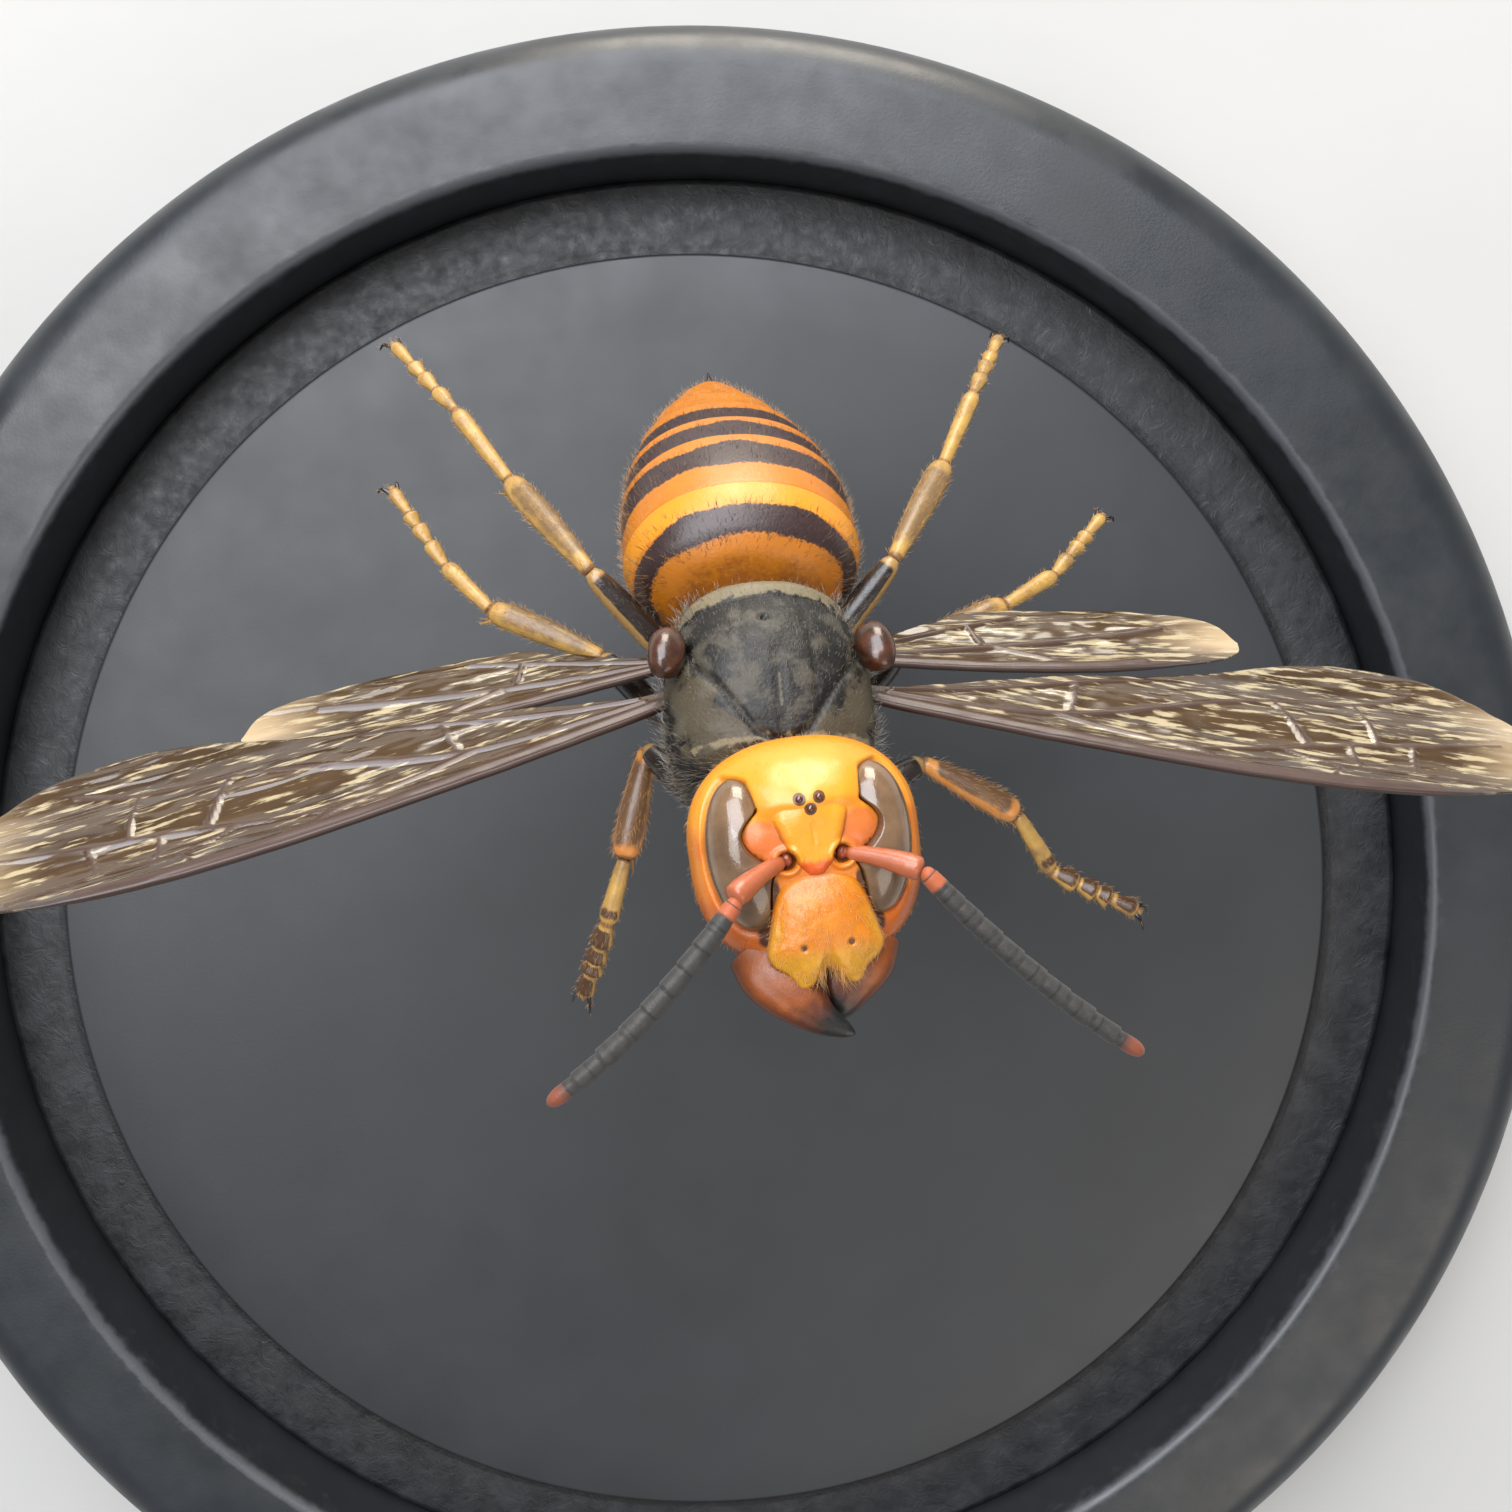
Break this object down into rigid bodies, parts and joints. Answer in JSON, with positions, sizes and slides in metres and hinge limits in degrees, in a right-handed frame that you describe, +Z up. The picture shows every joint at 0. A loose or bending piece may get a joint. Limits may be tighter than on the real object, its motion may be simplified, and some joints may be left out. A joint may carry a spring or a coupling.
{
  "type": "asian giant hornet museum specimen",
  "caption": "Life-size asian giant hornet with spread wings and legs, held nose up on a pin above a round black display base with a recessed floor.",
  "frame": {"origin": "centre of the round base on its underside", "axes": "+Z up out of the base, -Y the way the hornet faces, +X to the hornet's left"},
  "size_m": [0.1176, 0.1176, 0.0608],
  "materials": {
    "turned_base": "black lacquered, satin, lightly scuffed",
    "steel_pin": "plain",
    "compound_eye": "glossy dark brown with fine facets",
    "wing_membrane": "smoky amber membrane with darker veins",
    "brown_cuticle": "glossy dark brown",
    "scape_cuticle": "pinkish orange, satin",
    "flagellum_cuticle": "velvety dark grey",
    "head_cuticle": "yellow-orange, waxy gloss",
    "gaster_cuticle": "orange with dark brown bands, satin",
    "black_cuticle": "glossy black",
    "leg_cuticle": "tan, satin, with short hairs",
    "thorax_cuticle": "black-brown, fine matte pile"
  },
  "bodies": {
    "root": {"abdomen_segment_1": "gaster_cuticle", "abdomen_segment_2": "gaster_cuticle", "abdomen_segment_3": "gaster_cuticle", "abdomen_segment_4": "gaster_cuticle", "abdomen_segment_5": "gaster_cuticle", "abdomen_segment_6": "gaster_cuticle", "antenna_flagellum_left": "flagellum_cuticle", "antenna_flagellum_right": "flagellum_cuticle", "antenna_scape_left": "scape_cuticle", "antenna_scape_right": "scape_cuticle", "clypeus": "head_cuticle", "eye_left": "compound_eye", "eye_right": "compound_eye", "forewing_left": "wing_membrane", "forewing_right": "wing_membrane", "head": "head_cuticle", "hindwing_left": "wing_membrane", "hindwing_right": "wing_membrane", "leg_fore_left_coxa": "black_cuticle", "leg_fore_left_femur": "black_cuticle", "leg_fore_left_tarsus": "leg_cuticle", "leg_fore_left_tibia": "leg_cuticle", "leg_fore_right_coxa": "black_cuticle", "leg_fore_right_femur": "black_cuticle", "leg_fore_right_tarsus": "leg_cuticle", "leg_fore_right_tibia": "leg_cuticle", "leg_hind_left_coxa": "black_cuticle", "leg_hind_left_femur": "black_cuticle", "leg_hind_left_tarsus": "leg_cuticle", "leg_hind_left_tibia": "leg_cuticle", "leg_hind_right_coxa": "black_cuticle", "leg_hind_right_femur": "black_cuticle", "leg_hind_right_tarsus": "leg_cuticle", "leg_hind_right_tibia": "leg_cuticle", "leg_mid_left_coxa": "black_cuticle", "leg_mid_left_femur": "black_cuticle", "leg_mid_left_tarsus": "leg_cuticle", "leg_mid_left_tibia": "leg_cuticle", "leg_mid_right_coxa": "black_cuticle", "leg_mid_right_femur": "black_cuticle", "leg_mid_right_tarsus": "leg_cuticle", "leg_mid_right_tibia": "leg_cuticle", "mandible_left": "brown_cuticle", "mandible_right": "brown_cuticle", "mesothorax": "thorax_cuticle", "pronotum": "thorax_cuticle", "propodeum": "thorax_cuticle", "scutellum": "thorax_cuticle", "stand_floor": "turned_base", "stand_pin": "steel_pin", "stand_rim": "turned_base", "sting": "black_cuticle", "tegula_left": "brown_cuticle", "tegula_right": "brown_cuticle"}
  },
  "joints": []
}
